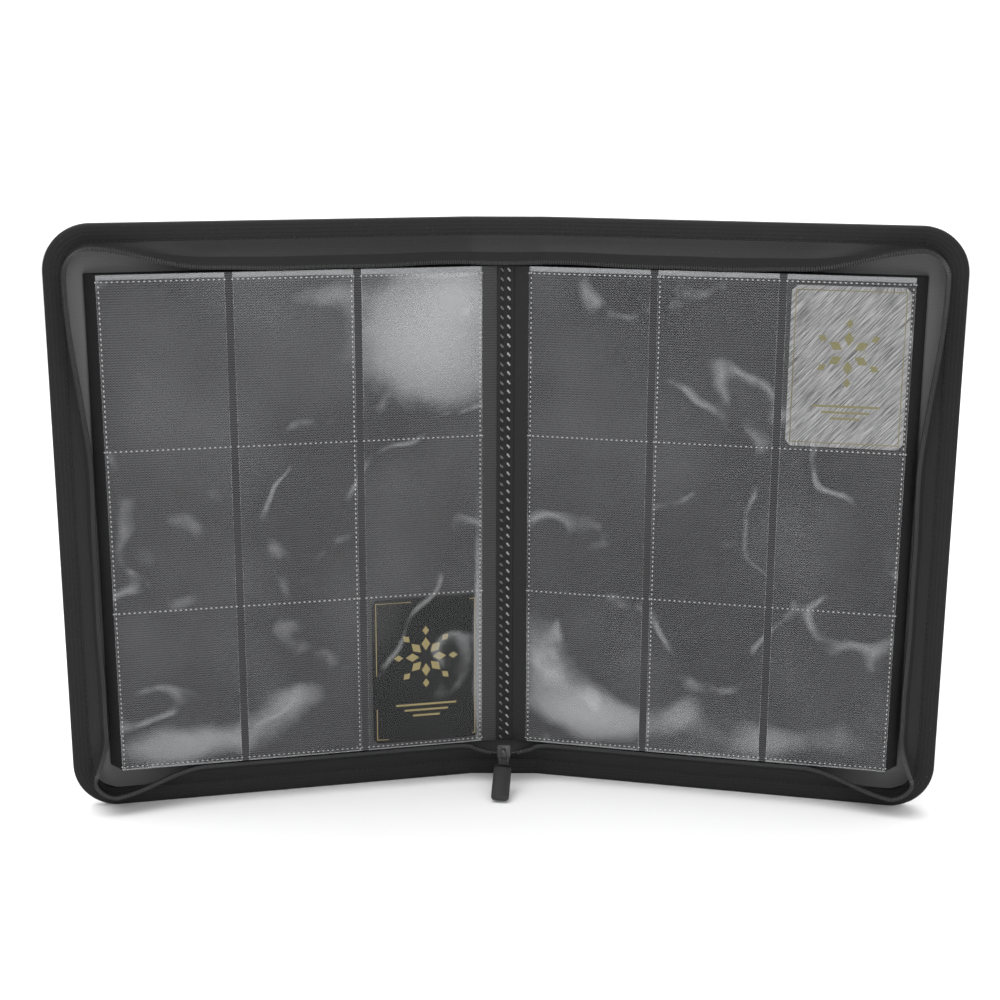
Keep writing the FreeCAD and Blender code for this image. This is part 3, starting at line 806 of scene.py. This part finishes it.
# painted reflections on the film, as soft bright shapes: side, place along and up in parts of the page, half
# sizes, lean, strength
paintedGleams = [
    ("left", 0.14, 0.86, 0.19, 0.13, 0.1, 1.25), ("left", 0.06, 0.95, 0.1, 0.05, 0.0, 0.7),
    ("left", 0.012, 0.2, 0.014, 0.3, 0.0, 0.9), ("left", 0.45, 0.95, 0.11, 0.035, 0.0, 0.55),
    ("left", 0.78, 0.05, 0.26, 0.05, -0.25, 0.75), ("left", 0.52, 0.13, 0.09, 0.045, -0.3, 0.6),
    ("left", 0.72, 0.56, 0.05, 0.03, 0.5, 0.4), ("left", 0.9, 0.44, 0.05, 0.05, 0.3, 0.42),
    ("left", 0.42, 0.55, 0.07, 0.02, 0.4, 0.35), ("left", 0.9, 0.8, 0.06, 0.04, 0.6, 0.3),
    ("right", 0.07, 0.17, 0.15, 0.15, -0.6, 0.6), ("right", 0.22, 0.07, 0.17, 0.045, -0.2, 0.8),
    ("right", 0.72, 0.05, 0.22, 0.055, 0.2, 0.6), ("right", 0.45, 0.1, 0.06, 0.05, 0.5, 0.45),
    ("right", 0.25, 0.53, 0.07, 0.022, 0.4, 0.42), ("right", 0.55, 0.46, 0.06, 0.02, 0.3, 0.35),
    ("right", 0.08, 0.92, 0.08, 0.05, 0.3, 0.4), ("right", 0.75, 0.62, 0.05, 0.03, 0.7, 0.3),
]


def pageWave(s, z):
    rise = 0.5 + 0.5 * math.sin(s * 19 + z * 9) * math.sin(z * 23 + 0.7)
    return page["wave"] * rise * smooth((s - pageNear) / (15 * mm))


def columnSpan(column):
    low = pageNear + page["pocketWide"] * column + (page["gap"] if column else 0)
    high = pageNear + page["pocketWide"] * (column + 1) - (page["gap"] if column < 2 else 0)
    return low, high


def rowLine(row):
    return pageLow + page["footLip"] + page["pocketTall"] * row


def makeCore(name, side):
    rows, foot = [], []
    for z in evenly(pageLow, pageHigh, page["sheetRows"]):
        spots = evenly(pageNear, pageFar, page["sheetColumns"])
        rows.append([pagePoint(side, s, z, coreHalf + pageWave(s, z)) for s in spots])
        foot.append([pagePoint(side, s, z, -coreHalf + pageWave(s, z) * 0.9) for s in spots])
    acrossStep, upStep = (pageFar - pageNear) / page["sheetColumns"], (pageHigh - pageLow) / page["sheetRows"]
    bm = slab(rows, foot, lambda a, b: (b * acrossStep, a * upStep))
    newPiece(f"page_sheet_{name}", bm, "page_core", f"top_page_{name}", [f"top_page_{name}_core"])


def filmHeight(s, z, low, high, row):
    # a pocket stands off the sheet between its welds, and puffs a little in the middle
    base = coreHalf + pageWave(s, z) + 0.04 * mm
    floor, roof = rowLine(row), rowLine(row + 1)
    rim = min(z - floor, roof - z)
    if rim <= 0:
        return base
    across = (s - low) / (high - low)
    tall = (z - floor) / (roof - floor)
    lift = page["filmUp"] * smooth(rim / (1.6 * mm))
    across = min(max(across, 0), 1)
    puff = page["pillow"] * math.sin(math.pi * tall) ** 0.7 * math.sin(math.pi * across) ** 0.7
    puff *= smooth((s - pageNear) / (25 * mm))
    folds = math.sin(s * 210 + math.sin(z * 83) * 2.2) * math.sin(z * 140 + math.sin(s * 61) * 2.5)
    return base + lift + puff + page["wrinkle"] * folds * smooth(rim / (6 * mm))


def paintedGleamAt(name, s, z):
    # the summed strength of the painted reflections at a spot on the page
    total = 0.0
    across, tall = (s - pageNear) / (pageFar - pageNear), (z - pageLow) / (pageHigh - pageLow)
    for side, x, y, wide, high, lean, strength in paintedGleams:
        if side != name:
            continue
        dy = (tall - y) / high
        dx = (across - x) / wide - lean * dy
        total += strength * math.exp(-(dx * dx + dy * dy) * 0.9)
    return min(total, 1.6)


def makeFilms(name, side):
    bm = bmesh.new()
    for column in range(3):
        low, high = columnSpan(column)
        spots = [low, low + 0.5 * mm, *evenly(low, high, page["pocketColumns"])[1:-1], high - 0.5 * mm, high]
        heights = [pageLow, rowLine(0)]
        for row in range(3):
            rises = evenly(0, page["pocketTall"], page["pocketRows"])[1:-1]
            heights += [rowLine(row) + rise for rise in (0.8 * mm, *rises)]
            heights += [rowLine(row + 1) - 0.8 * mm, rowLine(row + 1)]
        heights += [rowLine(3) + 1.2 * mm, pageHigh]
        top, foot = [], []
        for z in heights:
            row = min(max(int((z - rowLine(0)) / page["pocketTall"] - 1e-6), 0), 2)
            line = [filmHeight(s, z, low, high, row) for s in spots]
            top.append([pagePoint(side, s, z, h + page["filmThick"]) for s, h in zip(spots, line)])
            foot.append([pagePoint(side, s, z, h) for s, h in zip(spots, line)])
        slab(top, foot, bm=bm)
    item = newPiece(f"pocket_films_{name}", bm, "pocket_film", f"top_page_{name}",
                    [f"top_page_{name}_pockets"])
    # gleam holds the strength of the painted reflections on the film, vertex by vertex
    gleam = item.data.attributes.new("gleam", "FLOAT", "POINT")
    for index, vertex in enumerate(item.data.vertices):
        flat = Vector((vertex.co.x * side, vertex.co.y, 0)) - Vector((pagePivot.x, pagePivot.y, 0))
        s, z = flat.dot(along), vertex.co.z
        value = paintedGleamAt(name, s, z)
        # painted highlights along the film's cut edges at the column sides, and on the lips above and below the
        # pockets
        rims = [abs(s - edgeAt) for column in range(3) for edgeAt in columnSpan(column)]
        if min(rims) < 0.3 * mm:
            value = max(value, 0.75)
        if z > rowLine(3) + 0.9 * mm or z < rowLine(0) - 0.2 * mm:
            value = max(value, 0.8)
        gleam.data[index].value = value


def makeWelds(name, side):
    top = coreHalf + page["filmThick"] + 0.12 * mm
    routes = []
    for row in range(4):
        z = rowLine(row) + (0.4 * mm if row == 0 else -0.3 * mm)
        for column in range(3):
            routes.append([pagePoint(side, s, z, top + pageWave(s, z))
                           for s in evenly(*columnSpan(column), 12)])
    weldIn = page["weldIn"]
    for s in (columnSpan(0)[0] + weldIn, columnSpan(1)[0] + weldIn, columnSpan(2)[1] - weldIn):
        routes.append([pagePoint(side, s, z, top + pageWave(s, z) + page["filmUp"])
                       for z in evenly(rowLine(0), rowLine(3), 40)])
    item = alongRoute(f"weld_dots_{name}", routes, "weld", page["dotStep"], "bead", page["dot"])
    settle(item, "weld", f"top_page_{name}")


foldStrip = {"start": (4.75 * mm, -12.3 * mm), "half": 0.12 * mm, "sag": 0.15 * mm, "bend": 7 * mm}


def makeFoldStrip(name, side):
    # the thin strip between the seam and the page, with a slight sag between them
    rows, foot = [], []
    start = Vector((*foldStrip["start"], 0))
    reach = pagePivot + along * (pageNear + 1.5 * mm) + inward * (coreHalf * 0.2)
    for z in evenly(pageLow, pageHigh, 39):
        line = []
        for share in evenly(0, 1, 8):
            spot = start.lerp(Vector((reach.x, reach.y, 0)), share)
            line.append(Vector((spot.x * side, spot.y - foldStrip["sag"] * math.sin(math.pi * share), z)))
        rows.append([spot - Vector((0, foldStrip["half"], 0)) for spot in line])
        foot.append([spot + Vector((0, foldStrip["half"], 0)) for spot in line])
    bm = slab(rows, foot, lambda a, b: (b * 1.2 * mm, a * 7 * mm))
    # painted light and shade: the left strip takes the paler gutter cloth as its lit side, and the right strip the
    # darker gusset cloth as painted shade, though both strips are the same cloth
    finish = "gutter_cloth" if name == "left" else "gusset_cloth"
    item = newPiece(f"fold_strip_{name}", bm, finish, None, [f"top_page_{name}_gutter"])
    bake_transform(item)


# seam down the middle
seam = {"step": 5.3 * mm, "bar": (3.4 * mm, 1.7 * mm, 1.0 * mm), "loop": (3.6 * mm, 1.7 * mm, 0.8 * mm),
        "columnX": 1.9 * mm, "lean": 0.6, "crown": 0.08 * mm, "swell": 0.05 * mm}


def makeSeam():
    low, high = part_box("seam_strip")
    rows, foot = [], []
    xs = evenly(low.x, high.x, 10)
    for i, z in enumerate(evenly(low.z, high.z, 89)):
        swell = seam["swell"] * math.sin(i * 2.1)
        rows.append([Vector((x, low.y - seam["crown"] * math.cos(x / high.x * math.pi / 2) - swell, z))
                     for x in xs])
        foot.append([Vector((x, high.y, z)) for x in xs])
    bm = slab(rows, foot, lambda a, b: (b * 0.9 * mm, a * 3.2 * mm))
    newPiece("seam_band", bm, "seam", "spine", ["seam_strip"])
    for index, x in enumerate((-seam["columnX"], seam["columnX"])):
        shift = seam["step"] * 0.5 * index
        route = [Vector((x, low.y + 0.05 * mm, z)) for z in (low.z + 2 * mm + shift, high.z - 2 * mm)]
        # the left column of bars takes the darker thread copy, as painted shade
        bars = alongRoute(f"seam_bars_{index + 1}", [route], "thread" if index else "thread_dim",
                          seam["step"], "bead", seam["bar"], turn=seam["lean"])
        settle(bars, "thread", "spine", ["seam_thread"] if index else [])
        loops = alongRoute(f"seam_loops_{index + 1}", [route], "seam", seam["step"] / 2, "bead", seam["loop"],
                           turn=-seam["lean"])
        settle(loops, "seam", "spine")


# slider and its pull
sliderSet = {"wide": 8 * mm, "long": 10.5 * mm, "plate": 1.25 * mm, "apart": 2.4 * mm, "tilt": -25,
             "spot": (0, -20.5 * mm, 20.2 * mm)}
tab = {"wide": 10.5 * mm, "long": 22.2 * mm, "thick": 2 * mm, "neck": 7.4 * mm, "lean": 5,
       "panelUp": 0.12 * mm, "ringHalf": 2.5 * mm, "ringLong": 6.4 * mm, "wire": 0.5 * mm}


def outlinePlate(bm, outline, low, high, bevel):
    # a flat shape in X and Z, thick along Y, with rounded rims
    middle = sum((Vector((x, 0, z)) / len(outline) for x, z in outline), Vector((0, 0, 0)))
    rings = []
    for y, shrink in ((low, bevel), (low + bevel * 0.3, bevel * 0.3), (low + bevel, 0), (high - bevel, 0),
                      (high - bevel * 0.3, bevel * 0.3), (high, bevel)):
        ring = []
        for x, z in outline:
            out = Vector((x, 0, z)) - middle
            spot = middle + out * (1 - shrink / max(out.length, 1e-6))
            ring.append(Vector((spot.x, y, spot.z)))
        rings.append(ring)
    quadGrid(bm, rings, closeRows=True)


def roundedOutline(corners, radius, steps=6):
    points = []
    count = len(corners)
    for index, corner in enumerate(corners):
        corner = Vector(corner)
        back, ahead = Vector(corners[index - 1]), Vector(corners[(index + 1) % count])
        first = corner + (back - corner).normalized() * radius
        last = corner + (ahead - corner).normalized() * radius
        for t in evenly(0, 1, steps):
            spot = first * (1 - t) ** 2 + corner * 2 * t * (1 - t) + last * t ** 2
            points.append((spot.x, spot.y))
    return points


def withMirror(half):
    # half an outline, down the left side, closed by its mirror image
    return half + [(-x, z) for x, z in reversed(half)]


def turnAbout(bm, degrees, axis):
    turn = Matrix.Rotation(math.radians(degrees), 3, axis)
    bmesh.ops.rotate(bm, verts=bm.verts, cent=(0, 0, 0), matrix=turn)


def turnAndPlace(bm, degrees, spot):
    turnAbout(bm, degrees, "X")
    bmesh.ops.translate(bm, verts=bm.verts, vec=spot)


def makeSlider():
    half, long = sliderSet["wide"] / 2, sliderSet["long"] / 2
    shape = roundedOutline(withMirror([(-half, long), (-half, -long * 0.25), (-half * 0.5, -long)]), 1.2 * mm)
    bm = bmesh.new()
    back = sliderSet["apart"] / 2
    for low, high in ((-back - sliderSet["plate"], -back), (back, back + sliderSet["plate"])):
        outlinePlate(bm, shape, low, high, 0.35 * mm)
    post = roundedOutline(withMirror([(-1.2 * mm, -long * 0.55), (-1.2 * mm, -long)]), 0.4 * mm)
    outlinePlate(bm, post, -back - 0.2 * mm, back + 0.2 * mm, 0.1 * mm)
    arch = [(z * 3.3 * mm, -back - sliderSet["plate"] - 2.3 * mm * math.cos(z * math.pi / 2) ** 0.6)
            for z in evenly(-1, 1, 16)]
    bar = 1.3 * mm
    rows = []
    for z, y in arch:
        rows.append([Vector((x, y + dy, z))
                     for x, dy in ((-bar, 0), (-bar * 0.6, -0.35 * mm), (bar * 0.6, -0.35 * mm),
                                   (bar, 0), (bar, 0.5 * mm), (-bar, 0.5 * mm))])
    quadGrid(bm, rows, closeRows=True)
    turnAndPlace(bm, sliderSet["tilt"], sliderSet["spot"])
    newPiece("slider_body", bm, "slider_metal", "slider", ["slider"], smoothAngle=50)


def makePull():
    low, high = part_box("pull_tab")
    slope = math.atan2(high.z - low.z - tab["thick"], high.y - low.y)
    pivot = Vector(joints["pull_swing"]["pos_m"])
    bm = bmesh.new()
    wide, neck = tab["wide"] / 2, tab["neck"] / 2
    start, end = -4.6 * mm, -6.5 * mm - tab["long"]
    shape = roundedOutline(withMirror([(-neck, start), (-wide, start - 3 * mm), (-wide, end)]), 2.6 * mm, 8)
    outlinePlate(bm, shape, -tab["thick"] / 2, tab["thick"] / 2, 0.6 * mm)
    # a shallow raised panel stands on the face
    inner = roundedOutline(withMirror([(-neck + 1.4 * mm, start - 3 * mm), (-wide + 1.6 * mm, start - 6 * mm),
                                       (-wide + 1.6 * mm, end + 2.2 * mm)]), 1.4 * mm)
    outlinePlate(bm, inner, -tab["thick"] / 2 - tab["panelUp"], -tab["thick"] / 2 + 0.1 * mm, 0.1 * mm)
    turnAbout(bm, tab["lean"], "Y")
    turnAndPlace(bm, math.degrees(slope) - 90, pivot)
    newPiece("pull_tab_rubber", bm, "pull_rubber", "pull", ["pull_tab"], smoothAngle=50)
    ring = bmesh.new()
    side = tab["ringHalf"]
    loop = roundedOutline(withMirror([(-side, 0.0), (-side, -tab["ringLong"])]), 1.1 * mm, 5)
    rows = []
    for index, (x, z) in enumerate(loop):
        nextX, nextZ = loop[(index + 1) % len(loop)]
        out, up = Vector((nextZ - z, 0, x - nextX)).normalized(), Vector((0, 1, 0))
        rows.append([Vector((x, 0, z)) + (out * math.cos(turn) + up * math.sin(turn)) * tab["wire"]
                     for turn in circle(8)])
    rows.append(rows[0])
    quadGrid(ring, rows, closeRows=True, closeEnds=False)
    turnAndPlace(ring, math.degrees(slope) - 90, pivot)
    newPiece("pull_ring", ring, "slider_metal", "pull", ["pull_link"], smoothAngle=60)


# the two cards
cardSet = {"radius": 3 * mm, "wide": 63.5 * mm, "tall": 88.9 * mm, "thick": 0.3 * mm, "border": 2.2 * mm,
           "line": 0.5 * mm, "ink": 0.04 * mm, "clear": 1.8 * mm, "up": 0.12 * mm,
           "petals": ((4 * mm, 12 * mm, 2.6 * mm), (13.5 * mm, 19 * mm, 2.0 * mm))}


def makeCard(name, finish, motif, side, column, row, petals):
    low, high = columnSpan(column)
    start = low + cardSet["clear"] if column < 2 else high - cardSet["clear"] - cardSet["wide"]
    foot = rowLine(row) + cardSet["clear"]
    centre = (start + cardSet["wide"] / 2, foot + cardSet["tall"] / 2)
    level = coreHalf + cardSet["up"]

    def spot(x, z, up):
        s, height = centre[0] + x, centre[1] + z
        return pagePoint(side, s, height, level + pageWave(s, height) + up)

    half, tall = cardSet["wide"] / 2, cardSet["tall"] / 2
    rows, foots = [], []
    for z in evenly(-tall, tall, 30):
        into = max(cardSet["radius"] - (tall - abs(z)), 0)
        reach = half - cardSet["radius"] + math.sqrt(max(cardSet["radius"] ** 2 - into ** 2, 0))
        xs = evenly(-reach, reach, 20)
        rows.append([spot(x, z, cardSet["thick"]) for x in xs])
        foots.append([spot(x, z, 0) for x in xs])
    bm = slab(rows, foots, lambda a, b: (b / 20, a / 30))
    newPiece(f"{name}_sheet", bm, finish, name, [name], slot=f"{name}_face")
    art = bmesh.new()

    def plate(outline):
        art.faces.new([art.verts.new(spot(x, z, cardSet["thick"] + cardSet["ink"])) for x, z in outline])

    def bar(west, east, foot, head):
        plate([(west, foot), (east, foot), (east, head), (west, head)])

    middle = Vector((0, 8 * mm))
    for turn in circle(petals):
        lean = Vector((math.sin(turn), math.cos(turn)))
        across = Vector((lean.y, -lean.x))
        for near, far, wide in cardSet["petals"]:
            belly = middle + lean * (near + far) / 2
            plate([middle + lean * near, belly + across * wide, middle + lean * far, belly - across * wide])
    for k in range(3):
        wide, z = (18 - 5 * k) * mm, (-22 - 3.4 * k) * mm
        bar(-wide, wide, z, z + 1.2 * mm)
    line = cardSet["line"]
    x, z = half - cardSet["border"], tall - cardSet["border"]
    for sizes in ((-x, x, z - line, z), (-x, x, -z, -z + line), (-x, -x + line, -z, z), (x - line, x, -z, z)):
        bar(*sizes)
    newPiece(f"{name}_motif", art, motif, name)


for sideName, sideSign in sides.items():
    makeCore(sideName, sideSign)
    makeFilms(sideName, sideSign)
    makeWelds(sideName, sideSign)
    makeFoldStrip(sideName, sideSign)
print("top pages made")
makeSeam()
print("seam made")
makeSlider()
makePull()
print("slider and pull made")
makeCard("dark_card", "dark_card_face", "gold_ink", -1, 0, 0, 8)
makeCard("silver_card", "silver_card_face", "olive_ink", 1, 2, 2, 6)
print("cards made")


# finishes on the remaining frame parts
for node, item in frame["nodes"].items():
    slotName = next(entry["material_slot"] for entry in frame["record"]["subparts"] if entry["node"] == node)
    for materialSlot in item.material_slots:
        materialSlot.material = finishes.get(f"{slotName}Solid", finishes[slotName])
